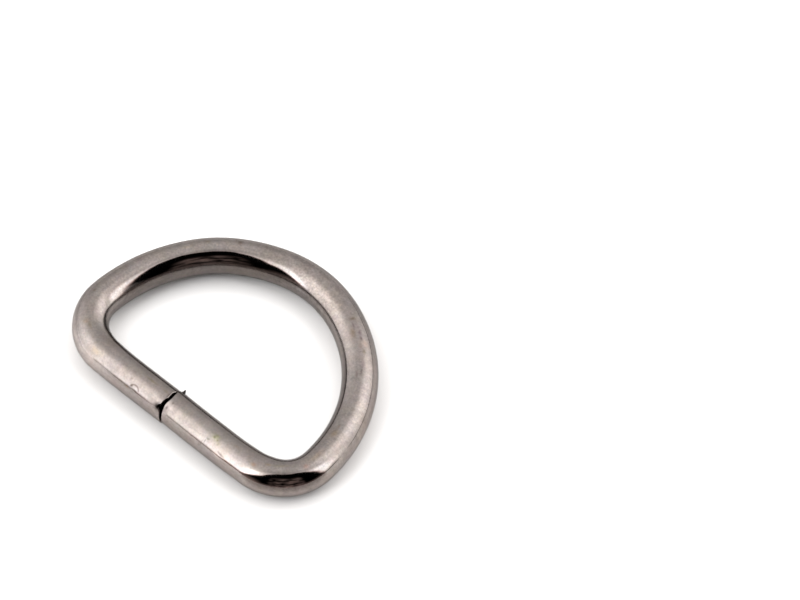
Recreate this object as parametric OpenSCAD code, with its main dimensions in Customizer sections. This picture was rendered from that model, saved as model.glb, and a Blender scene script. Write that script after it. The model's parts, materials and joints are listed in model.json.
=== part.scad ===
// D-shaped ring bent from one length of round wire. Its two cut ends meet near the middle of the
// straight bar and are left open there. The ring lies flat: X runs along the straight bar,
// Y from the bar to the crown of the arch, Z up from the surface that it lies on.

/* [Wire] */
// Thickness of the round wire
wire_d = 3.63; // [2:0.01:5]

/* [Ring] */
// Clear width inside the ring, which is the width of strap that it takes
inner_w = 25; // [22:0.5:50]
// Clear height inside the ring, from the straight bar to the crown of the arch
inner_h = 16.3; // [12:0.1:19]
// Inside radius of the two bends at the ends of the straight bar
bend_inner_r = 3; // [1:0.1:6]
// Angle that each shoulder of the arch turns through before the crown takes over
shoulder_turn = 73.5; // [60:0.5:84]

/* [Joint] */
// Place of the joint along the straight bar, from the bar's middle
joint_x = -0.8; // [-6:0.1:6]
// Width of the gap that is left between the two cut ends
joint_gap = 0.28; // [0.1:0.02:1]
// Length of the eased edge on each cut end
end_ease = 0.08; // [0.04:0.02:0.4]

/* [Fineness] */
// Sides round the wire in the preview
wire_sides = 48; // [24:12:96]
// Sides of a full turn along a bend in the preview
bend_sides = 144; // [72:24:288]

/* [Hidden] */

RIGHT = 1;
LEFT = -1;
QUARTER = 90;
COARSE_STEP = 0.01;
wire_r = wire_d / 2;

// Everything below is on the centreline of the wire
half_w = inner_w / 2 + wire_r;
height = inner_h + wire_d;
bend_r = bend_inner_r + wire_r;
bar_half = half_w - bend_r;
crown_turn = QUARTER - shoulder_turn;

// The shoulder leaves its bend at the ring's full width and heads straight up, and the crown
// is level on the middle line, so both radii follow from the width, the height and the turn
shoulder_lean = (1 - sin(shoulder_turn)) / cos(shoulder_turn);
shoulder_r = (height - bend_r - half_w * shoulder_lean) / (1 - shoulder_lean);
crown_r = shoulder_r - (shoulder_r - half_w) / cos(shoulder_turn);

// The outline's box is centred on the origin, so the bar's centreline lies this far to the front
bar_y = -height / 2;

// Moves its children by x and y in two steps, hundredths first and then the small rest, which keeps
// more digits than one step would, so that the stretches of wire meet exactly
module put(x, y) {
    coarse = [round(x / COARSE_STEP) * COARSE_STEP, round(y / COARSE_STEP) * COARSE_STEP, 0];
    translate(coarse) translate([x, y, 0] - coarse) children();
}

// Stretch of the bar on one side, from its cut end out to where the bend starts
module bar(side) {
    cut_x = joint_x + side * joint_gap / 2;
    run = bar_half - side * cut_x;
    put(cut_x, bar_y) translate([0, 0, wire_r])
        rotate([0, side * QUARTER, 0])
            rotate_extrude($fn = wire_sides)
                polygon([[0, 0], [wire_r - end_ease, 0], [wire_r, end_ease],
                         [wire_r, run], [0, run]]);
}

// Stretch of wire bent to a radius about a centre, over a turn that starts at an angle
module bent_wire(x, y, radius, start, turn) {
    put(x, y) translate([0, 0, wire_r])
        rotate_extrude(angle = turn, start = start, $fn = bend_sides)
            put(radius, 0) circle(r = wire_r, $fn = wire_sides);
}

// Bend at one end of the bar, then the shoulder that carries on to the crown
module side_wire(side) {
    mirror([side == LEFT ? 1 : 0, 0, 0]) {
        bent_wire(bar_half, bar_y + bend_r, bend_r, -QUARTER, QUARTER);
        bent_wire(half_w - shoulder_r, bar_y + bend_r, shoulder_r, 0, shoulder_turn);
    }
}

module crown() {
    bent_wire(0, bar_y + height - crown_r, crown_r, shoulder_turn, 2 * crown_turn);
}

module ring() {
    color([0.42, 0.38, 0.37]) union() {
        for (side = [LEFT, RIGHT]) {
            bar(side);
            side_wire(side);
        }
        crown();
    }
}

ring();
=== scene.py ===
import json
import math

import bpy
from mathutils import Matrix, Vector


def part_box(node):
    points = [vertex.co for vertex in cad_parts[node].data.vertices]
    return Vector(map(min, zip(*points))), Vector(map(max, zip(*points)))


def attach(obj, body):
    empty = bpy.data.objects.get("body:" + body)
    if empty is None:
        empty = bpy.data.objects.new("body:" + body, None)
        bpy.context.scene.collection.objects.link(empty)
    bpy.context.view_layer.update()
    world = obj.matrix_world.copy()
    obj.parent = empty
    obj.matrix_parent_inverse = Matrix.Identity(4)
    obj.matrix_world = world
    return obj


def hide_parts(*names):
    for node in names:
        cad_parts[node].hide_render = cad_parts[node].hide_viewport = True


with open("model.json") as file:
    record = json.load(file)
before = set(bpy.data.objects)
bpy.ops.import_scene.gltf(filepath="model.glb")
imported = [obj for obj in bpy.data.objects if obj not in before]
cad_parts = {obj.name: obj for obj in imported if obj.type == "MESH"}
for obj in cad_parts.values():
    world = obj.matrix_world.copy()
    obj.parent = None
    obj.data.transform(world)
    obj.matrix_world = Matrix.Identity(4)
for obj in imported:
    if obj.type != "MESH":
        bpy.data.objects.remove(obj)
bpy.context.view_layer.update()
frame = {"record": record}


# The ring: one length of round steel wire, bent in a jig into a straight bar, two tight bends,
# two shoulders and a crown, tumbled smooth and plated with dark nickel. Its two cut ends meet in
# the bar without solder, so the joint stays open by a hair and one end stands a little proud.

class Figure:
    """A number inside a node tree. Sums made with it add Math nodes to that tree."""

    def __init__(self, tree, out):
        self.tree, self.out = tree, out

    def work(self, operation, *values):
        node = self.tree.nodes.new("ShaderNodeMath")
        node.operation = operation
        for socket, value in zip(node.inputs, values):
            feed(self.tree, socket, value)
        return Figure(self.tree, node.outputs[0])

    def __add__(self, other): return self.work("ADD", self, other)
    def __radd__(self, other): return self.work("ADD", other, self)
    def __sub__(self, other): return self.work("SUBTRACT", self, other)
    def __rsub__(self, other): return self.work("SUBTRACT", other, self)
    def __mul__(self, other): return self.work("MULTIPLY", self, other)
    def __rmul__(self, other): return self.work("MULTIPLY", other, self)
    def __truediv__(self, other): return self.work("DIVIDE", self, other)
    def __neg__(self): return self.work("MULTIPLY", self, -1.0)
    def __abs__(self): return self.work("ABSOLUTE", self)
    def sin(self): return self.work("SINE", self)
    def cos(self): return self.work("COSINE", self)
    def exp(self): return self.work("EXPONENT", self)
    def root(self): return self.work("SQRT", self)
    def floor(self): return self.work("FLOOR", self)
    def least(self, other): return self.work("MINIMUM", self, other)
    def most(self, other): return self.work("MAXIMUM", self, other)
    def within(self, low, high): return self.most(low).least(high)
    def over(self, limit): return self.work("GREATER_THAN", self, limit)

    def hill(self, middle, width):
        """1 at the middle, falling off like a bell over the width"""
        step = (self - middle) / width
        return (-(step * step)).exp()

    def rise(self, start, end):
        """0 before start, 1 after end, easing between them, also where end is the lower one"""
        node = self.tree.nodes.new("ShaderNodeMapRange")
        node.interpolation_type = "SMOOTHSTEP"
        for name, value in (("Value", self), ("From Min", start), ("From Max", end)):
            feed(self.tree, node.inputs[name], value)
        return Figure(self.tree, node.outputs["Result"])


def feed(tree, socket, value):
    """Gives a node's socket a fixed value, or links it to another node"""
    if isinstance(value, Figure):
        value = value.out
    if isinstance(value, bpy.types.NodeSocket):
        tree.links.new(value, socket)
    else:
        socket.default_value = value


def add_node(tree, kind, settings=None, **sockets):
    node = tree.nodes.new(kind)
    for name, value in (settings or {}).items():
        setattr(node, name, value)
    for name, value in sockets.items():
        feed(tree, node.inputs[name.replace("_", " ")], value)
    return node


MM = 0.001
ring_low, ring_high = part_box("ring")
ring_size = ring_high - ring_low
bar_mount = next(mount for mount in frame["record"]["mounts"] if mount["name"] == "bar")

WIRE_THICK = ring_size.z
BAR_LENGTH = bar_mount["dims"]["length_mm"] * MM
SHOULDER_TURN = math.radians(73.5)
JOINT_PLACE = -0.8 * MM
JOINT_GAP = 0.28 * MM
END_EASE = 0.08 * MM
END_STEP = 0.09 * MM
WAVE_DEPTH = 0.007 * MM

# Fineness of the mesh. The rows crowd together towards the joint
HALF_ROWS = 250
EASE_ROWS = 4
CROWDING = 0.28
SIDES = 120
CLOSE_ENOUGH = 0.002 * MM

bent_wire = bpy.data.node_groups.new("Bent wire", "GeometryNodeTree")
bent_wire.interface.new_socket(name="Geometry", in_out="OUTPUT", socket_type="NodeSocketGeometry")
ring_sizes = {
    "Wire thickness": WIRE_THICK,
    "Overall width": ring_size.x,
    "Overall height": ring_size.y,
    "Bar length": BAR_LENGTH,
    "Shoulder turn": SHOULDER_TURN,
    "Joint place": JOINT_PLACE,
    "Joint gap": JOINT_GAP,
    "Eased edge": END_EASE,
    "End step": END_STEP,
    "Wave depth": WAVE_DEPTH,
}
for name in ring_sizes:
    bent_wire.interface.new_socket(name=name, in_out="INPUT", socket_type="NodeSocketFloat")
bent_wire.interface.new_socket(name="Plating", in_out="INPUT", socket_type="NodeSocketMaterial")
given = bent_wire.nodes.new("NodeGroupInput")
size = {name: Figure(bent_wire, given.outputs[name]) for name in ring_sizes}

# Centreline: a bar, a quarter bend, a shoulder and half a crown, the same on both sides
QUARTER = math.pi / 2
wire_r = size["Wire thickness"] * 0.5
half_width = size["Overall width"] * 0.5 - wire_r
path_height = size["Overall height"] - size["Wire thickness"]
bar_half = size["Bar length"] * 0.5
bend_r = half_width - bar_half
turn = size["Shoulder turn"]
lean = (1.0 - turn.sin()) / turn.cos()
shoulder_r = (path_height - bend_r - half_width * lean) / (1.0 - lean)
crown_r = shoulder_r - (shoulder_r - half_width) / turn.cos()
crown_turn = QUARTER - turn
bend_run = bend_r * QUARTER
shoulder_run = shoulder_r * turn
half_run = bar_half + bend_run + shoulder_run + crown_r * crown_turn

# A sheet of rows across the wire and columns round it. The rows run from the middle of one cut
# face, over its eased edge and once round the ring, to the middle of the other cut face. The
# columns start at the underside and pass the outside, the top and the inside
sheet = add_node(bent_wire, "GeometryNodeMeshGrid", Vertices_X=2 * HALF_ROWS + 1, Vertices_Y=SIDES + 1)
index = Figure(bent_wire, bent_wire.nodes.new("GeometryNodeInputIndex").outputs[0])
row = (index / (SIDES + 1.0)).floor()
round_angle = (index - row * (SIDES + 1.0)) * (4 * QUARTER / SIDES) - QUARTER
side = 1.0 - 2.0 * row.over(HALF_ROWS + 0.5)
right_end = side.over(0.0)
left_end = 1.0 - right_end
from_end = HALF_ROWS - abs(row - HALF_ROWS)
off_centre = from_end.over(0.5)
ease_turn = ((from_end - 1.0) / EASE_ROWS).within(0.0, 1.0) * QUARTER
far = ((from_end - 1.0 - EASE_ROWS) / (HALF_ROWS - 1.0 - EASE_ROWS)).within(0.0, 1.0)
ease = size["Eased edge"]

# The cutter left both faces leaning and wavy, and the joint closes up towards the underside. How
# far the cut strays to the right, and how far it closes, in mm at the outside, above it and inside.
# Under the wire both come round to one figure, so that each face is whole
STRAY_OUTSIDE, STRAY_ABOVE, STRAY_INSIDE = 0.17, -0.13, -0.1
CLOSE_OUTSIDE, CLOSE_INSIDE = 0.04, 0.1

cut_angle = round_angle * (180 / math.pi)
stray = (STRAY_OUTSIDE * (1.0 - cut_angle.rise(-5.0, 42.0)) + STRAY_ABOVE * cut_angle.hill(58.0, 20.0)
         + STRAY_INSIDE * cut_angle.rise(84.0, 116.0)
         + (STRAY_OUTSIDE - STRAY_INSIDE) * cut_angle.rise(200.0, 265.0)) * MM
closing = (CLOSE_OUTSIDE * cut_angle.rise(48.0, 12.0) + CLOSE_INSIDE * cut_angle.rise(108.0, 124.0)
           + (CLOSE_INSIDE - CLOSE_OUTSIDE) * cut_angle.rise(-40.0, -85.0)) * MM
cut_at = (side * (size["Joint place"] + stray * off_centre) + size["Joint gap"] * 0.5
          - closing * off_centre)
spread = far * (far * (1.0 - CROWDING) + CROWDING)
along = ease * (1.0 - ease_turn.cos()) + (half_run - cut_at - ease) * spread
reach = cut_at + along
place_mm = side * reach / MM    # from the bar's middle, to the right positive

# The burr that the cutter raised on the inside of the right-hand end: its place and how far its
# top and its foot reach each way, in mm along the wire, and its place and reach in degrees round it
BURR_HEIGHT = 0.34 * MM
BURR_AT, BURR_TOP, BURR_FOOT = -0.62, 0.04, 0.16
BURR_ANGLE, BURR_SPREAD = 151.0, 5.0
burr = right_end * BURR_HEIGHT * (1.0 - abs(place_mm - BURR_AT).rise(BURR_TOP, BURR_FOOT)) * (
    cut_angle.hill(BURR_ANGLE, BURR_SPREAD))

# The metal crowded up a little on the inside of each bend, against the jig's post
CROWDED_UP = 0.15 * MM
CROWDED_PAST_BAR, CROWDED_REACH = 1.6 * MM, 2.0 * MM
crowded = CROWDED_UP * (reach - bar_half - CROWDED_PAST_BAR).hill(0.0, CROWDED_REACH) * (
    cut_angle.rise(100.0, 150.0) * cut_angle.rise(255.0, 205.0))

# Other small heights over the round wire: on which end, place along it from the bar's middle in mm,
# degrees round it, reach each way in mm and in degrees, and height in mm
BOTH = 1.0
BUMPS = (
    (left_end, -1.15, 57.0, 0.8, 17.0, 0.09),      # lip that the cutter flared
    (left_end, -1.0, 48.0, 0.28, 7.5, -0.07),      # chip out of that lip
    (right_end, -0.6, 50.0, 0.28, 24.0, -0.06),    # edge that the cutter turned in
    (BOTH, -4.4, 43.0, 0.38, 8.0, 0.012),          # blister
    (BOTH, 7.0, 42.0, 0.35, 4.5, -0.012),          # scuff
    (BOTH, 5.0, 58.0, 0.1, 4.0, -0.02),            # nick
)
relief = burr + crowded
for end, at_mm, at_angle, wide_mm, tall_angle, height_mm in BUMPS:
    relief = relief + end * (height_mm * MM) * place_mm.hill(at_mm, wide_mm) * (
        cut_angle.hill(at_angle, tall_angle))

bent = ((reach - bar_half) / bend_r).within(0.0, QUARTER)
shouldered = ((reach - bar_half - bend_run) / shoulder_r).within(0.0, turn)
crowned = ((reach - bar_half - bend_run - shoulder_run) / crown_r).within(0.0, crown_turn)
heading = bent + shouldered + crowned
crown_at = turn + crowned
path_x = (reach.least(bar_half) + bend_r * bent.sin() - shoulder_r * (1.0 - shouldered.cos())
          + crown_r * (crown_at.cos() - turn.cos()))
path_y = (bend_r * (1.0 - bent.cos()) + shoulder_r * shouldered.sin()
          + crown_r * (crown_at.sin() - turn.sin()) - path_height * 0.5)

# The right-hand end stands a little further in than the left-hand one. Each bend starts with a
# slight dip to the inside, where the jig's post held the wire, and ends with a slight bulge to the
# outside, and the left shoulder sprang out a little. Reaches are each way along the wire
STEP_RUN = 2.5 * MM
DIP, DIP_REACH = 0.06 * MM, 1.7 * MM
BULGE = 0.07 * MM
LEFT_BULGE_REACH = 2.2 * MM
RIGHT_BULGE_SHORT_OF_END, RIGHT_BULGE_REACH = 2.4 * MM, 1.7 * MM
SPRING, SPRING_AT, SPRING_REACH = 0.11 * MM, 29.5 * MM, 3.5 * MM

step_in = size["End step"] * right_end * (-along / STEP_RUN).exp()
dip_in = DIP * (reach - bar_half).hill(0.0, DIP_REACH)
past_bend = reach - bar_half - bend_run
bulge_out = BULGE * (left_end * past_bend.hill(0.0, LEFT_BULGE_REACH)
                     + right_end * past_bend.hill(-RIGHT_BULGE_SHORT_OF_END, RIGHT_BULGE_REACH))
sprung_out = SPRING * left_end * reach.hill(SPRING_AT, SPRING_REACH)


def place_on_wire(radius):
    outward = radius * round_angle.cos() - step_in - dip_in + bulge_out + sprung_out
    return add_node(bent_wire, "ShaderNodeCombineXYZ",
                    X=side * (path_x + outward * heading.sin()),
                    Y=path_y - outward * heading.cos(),
                    Z=wire_r + radius * round_angle.sin()).outputs[0]


# The barrel left long shallow waves, nearly all of them below the round wire's surface
WAVES_PER_METRE = 550.0
WAVE_CREST = 0.8
waves = add_node(bent_wire, "ShaderNodeTexNoise", Vector=place_on_wire(wire_r), Scale=WAVES_PER_METRE,
                 Detail=3.0, Roughness=0.55)
wave = (Figure(bent_wire, waves.outputs[0]) - WAVE_CREST) * 2.0 * size["Wave depth"]
radius = (wire_r - ease + ease * ease_turn.sin() + relief + wave) * off_centre

# Where each point lies along the wire and round it is kept for the plating's marks
share = reach / (2.0 * half_run)
kept = bent_wire.nodes.new("GeometryNodeCaptureAttribute")
kept.capture_items.new("VECTOR", "Wire place")
feed(bent_wire, kept.inputs["Geometry"], sheet.outputs["Mesh"])
feed(bent_wire, kept.inputs["Wire place"], add_node(
    bent_wire, "ShaderNodeCombineXYZ",
    X=right_end * share + left_end * (1.0 - share),
    Y=(round_angle + QUARTER) / (4 * QUARTER)).outputs[0])
shaped = add_node(bent_wire, "GeometryNodeSetPosition", Geometry=kept.outputs["Geometry"],
                  Position=place_on_wire(radius))
mapped = add_node(bent_wire, "GeometryNodeStoreNamedAttribute", {"data_type": "FLOAT2", "domain": "CORNER"},
                  Geometry=shaped.outputs[0], Name="UVMap", Value=kept.outputs["Wire place"])
closed = add_node(bent_wire, "GeometryNodeMergeByDistance", Geometry=mapped.outputs[0],
                  Distance=CLOSE_ENOUGH)
smooth = add_node(bent_wire, "GeometryNodeSetShadeSmooth", Geometry=closed.outputs[0])
realized = add_node(bent_wire, "GeometryNodeRealizeInstances", Geometry=smooth.outputs[0])
plated = add_node(bent_wire, "GeometryNodeSetMaterial", Geometry=realized.outputs[0],
                  Material=given.outputs["Plating"])
handed_on = bent_wire.nodes.new("NodeGroupOutput")
feed(bent_wire, handed_on.inputs["Geometry"], plated.outputs[0])

# Plating: dark nickel, polished, which gives back a little more red than blue light
PLATING = (0.1325, 0.1142, 0.1057)
EDGE_TINT = 0.65
POLISH = 0.07
BROAD, FINE, GRAIN = 420.0, 1500.0, 4500.0    # patches to a metre

nickel = bpy.data.materials.new("Dark nickel plating")
nickel.use_nodes = True
skin = nickel.node_tree
surface = skin.nodes["Principled BSDF"]
surface.inputs["Metallic"].default_value = 1.0
surface.inputs["Roughness"].default_value = POLISH
surface.inputs["Specular Tint"].default_value = (EDGE_TINT, EDGE_TINT, EDGE_TINT, 1.0)

# Place on the wire: distance from the bar's middle in mm, to the right positive, and degrees round
# it from the outside, over the top at 90, to the inside at 180. The full run is once along it
FULL_RUN_MM = 80.14
unrolled = add_node(skin, "ShaderNodeSeparateXYZ",
                    Vector=add_node(skin, "ShaderNodeUVMap", {"uv_map": "UVMap"}).outputs[0])
fraction = Figure(skin, unrolled.outputs["X"])
along_mm = (fraction - fraction.over(0.5)) * FULL_RUN_MM
angle = Figure(skin, unrolled.outputs["Y"]) * 360.0 - 90.0


def clouds(vector, scale, detail=3.0):
    """Three soft random figures between about -1 and 1"""
    noise = add_node(skin, "ShaderNodeTexNoise", Vector=vector, Scale=scale, Detail=detail)
    split = add_node(skin, "ShaderNodeSeparateColor", Color=noise.outputs["Color"])
    return [(Figure(skin, split.outputs[k]) - 0.5) * 4.0 for k in range(3)]


in_metres = skin.nodes.new("ShaderNodeTexCoord").outputs["Object"]
broad = clouds(in_metres, BROAD)
fine = clouds(in_metres, FINE, 4.0)
grain = clouds(in_metres, GRAIN, 2.0)
STREAK_WIDE_MM, STREAK_LONG_DEGREES = 0.45, 40.0
across_wire = add_node(skin, "ShaderNodeCombineXYZ", X=along_mm / STREAK_WIDE_MM,
                       Y=angle / STREAK_LONG_DEGREES, Z=0.0).outputs[0]
streaks = clouds(across_wire, 1.0, 2.0)

# The plating is made lighter on the outside of the bar and of its two bends, most of all on the left bend,
# and a little on the inside of the bends and along the shoulders.
# This is painted light. The lift on the outside and the left bend is a painted reflection of the bright
# floor that these faces mirror. The lift by the right bend is a painted highlight.
# The smaller lifts inside, on the tops and on the crown are painted light too. Each is a share by which it
# is lighter, and where it starts and ends in mm along the wire and degrees round it
OUTSIDE_PAINTED_LIFT, OUTSIDE_SHOULDER_PAINTED_LIFT = 0.95, 0.2375
LEFT_BEND_PAINTED_LIFT, RIGHT_BEND_PAINTED_HIGHLIGHT = 1.1, 0.16
INSIDE_EDGE_PAINTED_LIFT, INSIDE_BEND_PAINTED_LIFT = 0.45, 0.5
LEFT_TOP_PAINTED_LIFT, RIGHT_TOP_PAINTED_LIFT, CROWN_PAINTED_LIFT = 0.13, 0.18, 0.3
left_of_joint = along_mm.hill(-6.0, 4.0)
past_left_bend = along_mm.rise(-12.0, -17.0)
crown_right = along_mm.rise(35.0, 39.0)
outside = (0.45 + 0.55 * angle.rise(24.0, 0.0)) * (
    1.0 - angle.rise(26.0 - 8.0 * left_of_joint, 46.0 - 12.0 * left_of_joint))
bend_top = 44.0 + 1.6 * along_mm
# Painted reflection and painted highlight, put into the plating's colour
painted_light_lift = (
    1.0
    + OUTSIDE_PAINTED_LIFT * outside * (1.0 - abs(along_mm).rise(31.0, 38.0))
    + OUTSIDE_SHOULDER_PAINTED_LIFT * along_mm.hill(22.0, 3.0) * angle.rise(24.0, 14.0)
    + LEFT_BEND_PAINTED_LIFT * along_mm.hill(-12.0, 4.2) * (1.0 - angle.rise(24.0, 50.0))
    + RIGHT_BEND_PAINTED_HIGHLIGHT * along_mm.rise(0.0, 5.0) * (1.0 - along_mm.rise(10.0, 12.5))
    * angle.rise(30.0, 38.0) * (1.0 - angle.rise(bend_top, bend_top + 8.0))
    + INSIDE_EDGE_PAINTED_LIFT * angle.rise(168.0, 194.0)
    + INSIDE_BEND_PAINTED_LIFT * angle.rise(144.0, 158.0) * (along_mm.hill(31.0, 6.0) + along_mm.hill(-14.0, 2.5))
    + INSIDE_BEND_PAINTED_LIFT * angle.hill(142.0, 5.0) * (along_mm.hill(32.5, 3.0) + along_mm.hill(-17.5, 2.0))
    + LEFT_TOP_PAINTED_LIFT * along_mm.hill(-28.0, 6.0) * angle.hill(76.0, 24.0)
    + RIGHT_TOP_PAINTED_LIFT * along_mm.hill(30.0, 3.5) * angle.hill(78.0, 10.0)
    + CROWN_PAINTED_LIFT * (past_left_bend + crown_right) * angle.hill(53.0, 9.0))

# It also took a little unevenly, most of all on the crown, with streaks across the wire
BROAD_SHARE, FINE_SHARE, GRAIN_SHARE, STREAK_SHARE = 0.06, 0.08, 0.11, 0.07
mottling = 1.0 + 0.3 * abs(along_mm).rise(9.0, 14.0) + 0.8 * abs(along_mm).rise(33.0, 38.0)
streaked = (1.0 - abs(along_mm).rise(36.0, 39.0)) * (1.0 - angle.rise(80.0, 100.0))
tone = painted_light_lift * (
    1.0 + BROAD_SHARE * broad[0] + mottling * (FINE_SHARE * fine[0] + GRAIN_SHARE * grain[0])
    + STREAK_SHARE * streaked * streaks[0])
colour = add_node(
    skin, "ShaderNodeCombineColor",
    Red=tone * (1.0 + 0.022 * broad[1] + 0.022 * fine[1] + 0.02 * grain[1]) * PLATING[0],
    Green=tone * (1.0 + 0.014 * broad[2] + 0.016 * fine[2]) * PLATING[1],
    Blue=tone * (1.0 - 0.03 * broad[1] - 0.02 * fine[2] - 0.015 * grain[1]) * PLATING[2]).outputs[0]

# Stains, specks and scuffs, broad grey patches that are lighter or darker, and a few marks of painted shade
# and painted highlight: place along and round the wire, reach each way, and what is left of red, green and
# blue in the middle of the mark
MARKS = (
    # Left half of the crown and left shoulder
    # Its first mark, a broad grey darkening inside the crown, is painted shade that dims the highlight
    # there
    (-37.6, 121, 1.7, 12, (0.76, 0.76, 0.76)), (-34.3, 65, 0.2, 10, (0.88, 0.85, 0.84)),
    (-31.8, 72, 0.25, 9, (0.66, 0.6, 0.56)), (-31.4, 62, 0.1, 9, (0.78, 0.73, 0.7)),
    (-29.6, 84, 0.14, 8, (1.15, 1.12, 1.08)), (-28.7, 72, 0.25, 7, (0.82, 0.77, 0.68)),
    (-26.6, 83, 0.6, 6, (1.05, 1.02, 0.92)), (-20.5, 70, 0.3, 8, (0.86, 0.83, 0.8)),
    # Left bend
    # Its first mark, a broad grey darkening inside the left bend, is painted shade that dims the highlight
    # there
    (-17.5, 108, 4.0, 14, (0.88, 0.87, 0.87)), (-16.5, 72, 0.15, 5, (0.78, 0.73, 0.62)),
    (-13.1, 78, 0.3, 8, (1.1, 1.0, 0.9)), (-12.5, 88, 0.5, 5, (0.88, 0.84, 0.76)),
    # Its first mark is painted shade as well, dimming the highlight inside the left bend
    (-12.0, 112, 2.2, 14, (0.8, 0.8, 0.8)), (-10.0, 60, 0.5, 9, (1.08, 1.02, 0.9)),
    # Bar, left of the joint
    (-6.9, 115, 0.25, 5, (0.8, 0.77, 0.76)), (-5.3, 32, 0.3, 3, (0.9, 0.78, 0.62)),
    (-5.2, 63, 0.16, 3.5, (0.72, 0.7, 0.68)), (-4.82, 46, 0.13, 4, (0.5, 0.46, 0.44)),
    (-3.5, 97, 0.8, 4, (0.8, 0.77, 0.66)), (-3.1, 33, 0.8, 2.5, (1.18, 1.18, 1.18)),
    (-2.1, 36, 0.55, 3, (1.3, 1.3, 1.3)), (-1.65, 97, 0.4, 4, (0.84, 0.82, 0.72)),
    # This mark is a painted highlight on the lip that the cutter flared
    (-1.5, 57, 0.35, 5, (1.25, 1.25, 1.25)),
    # The two cut ends: the chip, coloured black as painted shade in its hollow, the burr, coloured near
    # black, the specks by them, and a painted highlight on the rim by the right-hand end
    (-1.3, 43, 0.28, 9, (0.01, 0.01, 0.01)), (-1.1, 45, 0.46, 12, (0.005, 0.005, 0.005)),
    (-1.08, 92, 0.1, 15, (0.55, 0.52, 0.52)), (-0.6, 152, 0.3, 18, (0.02, 0.02, 0.02)),
    (-0.4, 54, 0.12, 5, (0.5, 0.48, 0.48)), (-0.2, 78, 0.12, 4, (0.6, 0.58, 0.56)),
    (0.0, 62, 0.14, 5, (1.3, 1.3, 1.3)), (0.2, 137, 0.5, 6, (0.62, 0.55, 0.62)),
    # Bar, right of the joint, with its green stain and its scuff
    (2.6, 116, 0.5, 4, (0.86, 0.83, 0.84)), (3.2, 18, 0.5, 6, (0.9, 0.86, 0.87)),
    (4.4, 26, 0.09, 8, (0.78, 0.76, 0.74)), (4.6, 36, 0.06, 12, (0.68, 0.66, 0.64)),
    (4.8, 46, 0.07, 9, (0.7, 0.7, 0.68)), (5.0, 58, 0.14, 3.5, (0.5, 0.54, 0.46)),
    (5.4, 75, 0.13, 4, (0.55, 0.56, 0.4)), (5.6, 76, 0.45, 11, (1.0, 1.05, 0.84)),
    (5.6, 84, 0.3, 4, (0.86, 0.88, 0.74)), (5.9, 72, 0.1, 3, (0.62, 0.6, 0.46)),
    (6.2, 66, 0.2, 6, (0.84, 0.85, 0.76)), (6.4, 35, 0.26, 4.5, (1.9, 1.9, 1.9)),
    (6.5, 85, 4.5, 8, (1.1, 1.1, 1.1)), (6.7, 46, 0.16, 3, (0.6, 0.56, 0.55)),
    (6.9, 27, 0.5, 5, (1.15, 1.14, 1.14)), (7.0, 42, 0.42, 4, (0.5, 0.46, 0.45)),
    (7.6, 23, 0.3, 4, (0.84, 0.81, 0.81)), (7.9, 94, 0.5, 6, (0.93, 0.88, 0.82)),
    (8.4, 36, 0.7, 3, (1.3, 1.3, 1.3)),
    # Right bend
    (10.3, 78, 0.28, 6, (0.92, 0.76, 0.66)), (11.6, 98, 0.3, 4, (0.9, 0.82, 0.7)),
    (13.0, 100, 1.0, 5, (0.98, 0.97, 0.86)), (13.2, 26, 2.4, 12, (0.82, 0.8, 0.8)),
    (15.3, 82, 0.3, 8, (1.08, 0.9, 0.82)), (16.8, 92, 0.8, 8, (1.08, 1.0, 0.9)),
    (17.0, 116, 4.0, 9, (1.16, 1.16, 1.16)),
    # Right shoulder and right half of the crown
    (19.9, 100, 0.45, 9, (0.86, 0.79, 0.67)), (20.8, 100, 0.3, 4, (0.86, 0.78, 0.74)),
    (23.4, 128, 0.5, 4, (0.82, 0.77, 0.78)), (27.3, 100, 0.35, 4, (0.7, 0.63, 0.64)),
    (27.6, 86, 0.35, 3, (0.7, 0.64, 0.65)), (28.4, 80, 0.7, 6, (0.88, 0.84, 0.86)),
    (29.9, 74, 0.35, 5, (0.66, 0.64, 0.56)), (30.6, 83, 0.5, 6, (0.87, 0.82, 0.8)),
    (30.8, 68, 0.4, 12, (1.08, 0.99, 0.93)), (31.4, 76, 0.22, 5, (0.5, 0.44, 0.46)),
    (32.1, 75, 0.35, 5, (0.6, 0.53, 0.58)), (32.3, 96, 0.5, 8, (0.9, 0.83, 0.72)),
    (33.0, 77, 0.5, 8, (0.88, 0.83, 0.84)), (33.1, 88, 0.28, 3, (0.66, 0.6, 0.64)),
    (33.8, 82, 0.2, 9, (0.62, 0.57, 0.48)), (35.8, 97, 0.15, 7, (1.3, 1.26, 1.2)),
)
RAGGED_MM, RAGGED_DEGREES = 0.07, 2.2
ragged_along = along_mm + RAGGED_MM * fine[1]
ragged_angle = angle + RAGGED_DEGREES * fine[2]


def marked(colour, share, tint):
    """The colour, with a share of it tinted by what a mark leaves of red, green and blue"""
    mixed = add_node(skin, "ShaderNodeMix",
                     {"data_type": "RGBA", "blend_type": "MULTIPLY", "clamp_factor": True})
    for place, value in ((0, share), (6, colour), (7, (*tint, 1.0))):
        feed(skin, mixed.inputs[place], value)
    return mixed.outputs[2]


for at_mm, at_angle, wide_mm, tall_angle, tint in MARKS:
    off_along = (ragged_along - at_mm) / wide_mm
    off_angle = (ragged_angle - at_angle) / tall_angle
    colour = marked(colour, (-(off_along * off_along + off_angle * off_angle)).exp(), tint)

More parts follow.
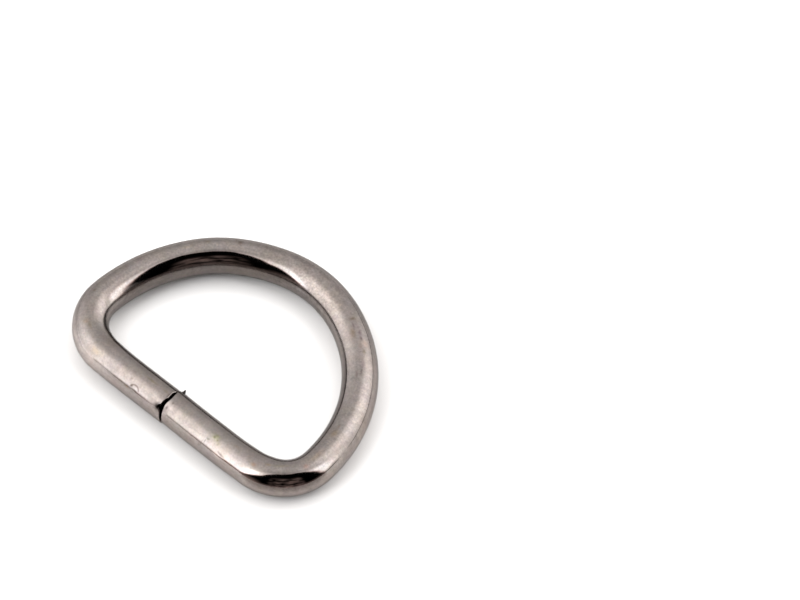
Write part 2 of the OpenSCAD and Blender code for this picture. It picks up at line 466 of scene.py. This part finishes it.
# The blister's rim shows as a thin dark hoop, open towards the underside
HOOP_AT, HOOP_ACROSS, HOOP_ANGLE, HOOP_TALL = -4.38, 0.52, 38.0, 15.0
HOOP_THIN = 0.16
HOOP_TINT = (0.5, 0.46, 0.44)
hoop_along = (along_mm - HOOP_AT) / HOOP_ACROSS
hoop_angle = (angle - HOOP_ANGLE) / HOOP_TALL
hoop = (hoop_along * hoop_along + hoop_angle * hoop_angle).root()
colour = marked(colour, hoop.hill(1.0, HOOP_THIN) * angle.rise(HOOP_ANGLE, HOOP_ANGLE + 5.0), HOOP_TINT)
feed(skin, surface.inputs["Base Color"], colour)

# The barrel's stones couldn't reach the inside so well, so the polish is duller there
DULLER = 0.12
dull_from = 116.0 + 14.0 * (along_mm.rise(20.0, 26.0) + along_mm.rise(-13.0, -17.0)) + 10.0 * (
    along_mm.rise(-19.0, -23.0) + crown_right)
dull_inside = angle.rise(dull_from, dull_from + 9.0)
roughness = (POLISH + 0.012 * broad[2] + 0.008 * fine[0]).within(0.04, 0.12) + DULLER * dull_inside
feed(skin, surface.inputs["Roughness"], roughness)


def grow(name, tree, values):
    """An object whose mesh a node tree makes from the given values, made plain"""
    piece = bpy.data.objects.new(name, bpy.data.meshes.new(name))
    bpy.context.scene.collection.objects.link(piece)
    growing = piece.modifiers.new(name, "NODES")
    growing.node_group = tree
    for socket in tree.interface.items_tree:
        if socket.in_out == "INPUT" and socket.name in values:
            growing[socket.identifier] = values[socket.name]
    shown = bpy.context.evaluated_depsgraph_get()
    plain = bpy.data.meshes.new_from_object(piece.evaluated_get(shown), preserve_all_data_layers=True,
                                            depsgraph=shown)
    piece.modifiers.clear()
    piece.data = plain
    plain.name = name
    return piece


ring = grow("wire_ring", bent_wire, {**ring_sizes, "Plating": nickel})
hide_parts("ring")
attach(ring, "root")


# The table: a plain sheet of white paper, smooth enough to hold a faint sheen. It lies flat under
# the ring and is lit until it is paper white.
TABLE_SIDE = 3.0
PAPER = (0.515, 0.502, 0.493, 1.0)
PAPER_ROUGHNESS = 0.3

table_mesh = bpy.data.meshes.new("table")
corners = [(x * TABLE_SIDE / 2, y * TABLE_SIDE / 2, 0.0) for x, y in ((-1, -1), (1, -1), (1, 1), (-1, 1))]
table_mesh.from_pydata(corners, [], [(0, 1, 2, 3)])
table = bpy.data.objects.new("table", table_mesh)
bpy.context.scene.collection.objects.link(table)
paper = bpy.data.materials.new("White paper")
paper.use_nodes = True
paper_surface = paper.node_tree.nodes["Principled BSDF"]
paper_surface.inputs["Base Color"].default_value = PAPER
paper_surface.inputs["Roughness"].default_value = PAPER_ROUGHNESS
table_mesh.materials.append(paper)


# The camera: far back with a long lens, so that the ring shows hardly any perspective. It looks
# down at the ring from in front of its right side, and aims past it, so the ring is at the left.
CAMERA_AZIMUTH = math.radians(42.093)
CAMERA_ELEVATION = math.radians(56.565)
CAMERA_DISTANCE = 0.78707
AIMED_AT = Vector((6.523, 15.146, 0.0)) * MM
SENSOR_MM, LENS_MM = 36.0, 360.0
NEAREST, FURTHEST = 0.01, 10.0

lens = bpy.data.cameras.new("camera")
lens.sensor_width = SENSOR_MM
lens.lens = LENS_MM
lens.clip_start, lens.clip_end = NEAREST, FURTHEST
camera = bpy.data.objects.new("camera", lens)
bpy.context.scene.collection.objects.link(camera)
looking = Vector((-math.sin(CAMERA_AZIMUTH) * math.cos(CAMERA_ELEVATION),
                  math.cos(CAMERA_AZIMUTH) * math.cos(CAMERA_ELEVATION),
                  -math.sin(CAMERA_ELEVATION)))
camera.location = AIMED_AT - looking * CAMERA_DISTANCE
camera.rotation_euler = looking.to_track_quat("-Z", "Y").to_euler()
bpy.context.scene.camera = camera


# The light: a white cloth tent over the table, lit through its side walls and its roof, with a
# dark opening on the camera's side, which shows as the black bands in the ring. Bearings are
# degrees round from the camera, to the right positive, and heights are degrees above the table.
room = bpy.data.worlds.new("Light tent")
bpy.context.scene.world = room
room.use_nodes = True
tent = room.node_tree
backdrop = tent.nodes["Background"]
seen_way = tent.nodes.new("ShaderNodeTexCoord").outputs["Generated"]
turned = add_node(tent, "ShaderNodeVectorRotate", {"rotation_type": "Z_AXIS"},
                  Vector=seen_way, Angle=-CAMERA_AZIMUTH)
parts = add_node(tent, "ShaderNodeSeparateXYZ", Vector=turned.outputs[0])
to_right, to_back, up = (Figure(tent, parts.outputs[axis]) for axis in "XYZ")
DEGREE = 180 / math.pi
bearing = to_right.work("ARCTAN2", to_right, -to_back) * DEGREE
height = up.work("ARCSINE", up) * DEGREE
round_to = abs(bearing)
on_right = bearing.over(0.0)
on_left = 1.0 - on_right

# Roof, brightest halfway up, and the slope between it and the walls
ROOF, ROOF_BRIGHTER, ROOF_TOP_DULLER, SLOPE, SLOPE_LEFT_SHARE = 1.5, 0.8, 0.9, 1.35, 0.6
roof = ROOF + ROOF_BRIGHTER * height.rise(10.0, 58.0) - ROOF_TOP_DULLER * height.rise(76.0, 92.0)
slope = SLOPE * height.hill(65.0, 12.0) * round_to.rise(186.0, 125.0) * (
    SLOPE_LEFT_SHARE * on_left + round_to.rise(105.0, 150.0) * on_right)

# Side walls, duller at the foot, each with the bright strip of the lamp behind it
LEFT_WALL, LEFT_STRIP = 3.7, 5.2
RIGHT_WALL, RIGHT_WALL_SHADE, RIGHT_STRIP = 3.9, 1.8, 2.6
FOOT_SHARE = 0.6
foot = FOOT_SHARE + (1.0 - FOOT_SHARE) * height.rise(0.0, 28.0)
head = 1.0 - height.rise(42.0, 84.0)
left_wall = LEFT_WALL * round_to.rise(157.0, 92.0) * foot
left_strip = LEFT_STRIP * round_to.hill(57.0, 8.5) * (
    height.rise(9.0, 16.0) * (1.0 - height.rise(52.0, 76.0)))
right_wall = foot * (
    RIGHT_WALL * round_to.rise(162.0, 112.0) - RIGHT_WALL_SHADE * round_to.hill(87.0, 13.0))
right_strip = RIGHT_STRIP * round_to.hill(72.0, 9.5) * (
    height.rise(11.0, 20.0) * (1.0 - height.rise(52.0, 70.0)))
side_walls = (left_wall + left_strip) * on_left + (right_wall + right_strip) * on_right

# A grey hem runs along the foot of the walls
HEM_DARK, HEM_LEFT_SHARE = 0.72, 0.65
hem = height.rise(9.5, 5.5) * (
    HEM_LEFT_SHARE * bearing.rise(-71.0, -66.0) * on_left + bearing.rise(84.0, 72.0) * on_right)
back_hem = height.rise(5.0, 3.0) * bearing.rise(80.0, 90.0) * bearing.rise(158.0, 140.0)
walls = (roof + slope + head * side_walls) * (1.0 - HEM_DARK * hem.most(back_hem))

# The opening, with dim light in it near the table, at its left and in a cloudy patch in its middle
DIM_NEAR_TABLE, DIM_AT_LEFT, DIM_IN_MIDDLE = 0.5, 0.3, 0.5
CLOUDS_TO_A_TURN = 5.0
left_edge = (0.45 * height - 65.5).least(-41.5)
right_edge = 60.0 + 3.0 * height.rise(62.0, 74.0) + 3.0 * height.rise(24.0, 7.0)
top_edge = 84.5 - 0.05 * round_to
opening = bearing.rise(left_edge - 3.0, left_edge + 3.0) * (
    bearing.rise(right_edge + 4.0, right_edge - 3.0) * height.rise(top_edge + 2.0, top_edge - 2.0))
cloudy = add_node(tent, "ShaderNodeTexNoise", Vector=seen_way, Scale=CLOUDS_TO_A_TURN, Detail=3.0)
middle = bearing.rise(-26.0, -14.0) * bearing.rise(34.0, 22.0) * height.rise(60.0, 48.0)
dim_light = (DIM_NEAR_TABLE * height.rise(12.0, -4.0)
             + DIM_AT_LEFT * bearing.rise(-30.0, -46.0) * height.rise(26.0, 8.0)
             + DIM_IN_MIDDLE * middle * Figure(tent, cloudy.outputs[0]).rise(0.36, 0.66))
feed(tent, backdrop.inputs["Strength"], walls * (1.0 - opening) + dim_light * opening)

# The dim light is warm, and the strips are a little cold: how much more red and blue each has
DIM_RED, DIM_BLUE = 0.28, -0.06
GLARE_RED, GLARE_BLUE = -0.06, 0.04
glare = side_walls.rise(3.0, 7.0) * head * (1.0 - opening)
feed(tent, backdrop.inputs["Color"], add_node(
    tent, "ShaderNodeCombineColor", Red=1.0 + DIM_RED * opening + GLARE_RED * glare, Green=1.0,
    Blue=1.0 + DIM_BLUE * opening + GLARE_BLUE * glare).outputs[0])

bpy.context.scene.view_settings.view_transform = "Standard"
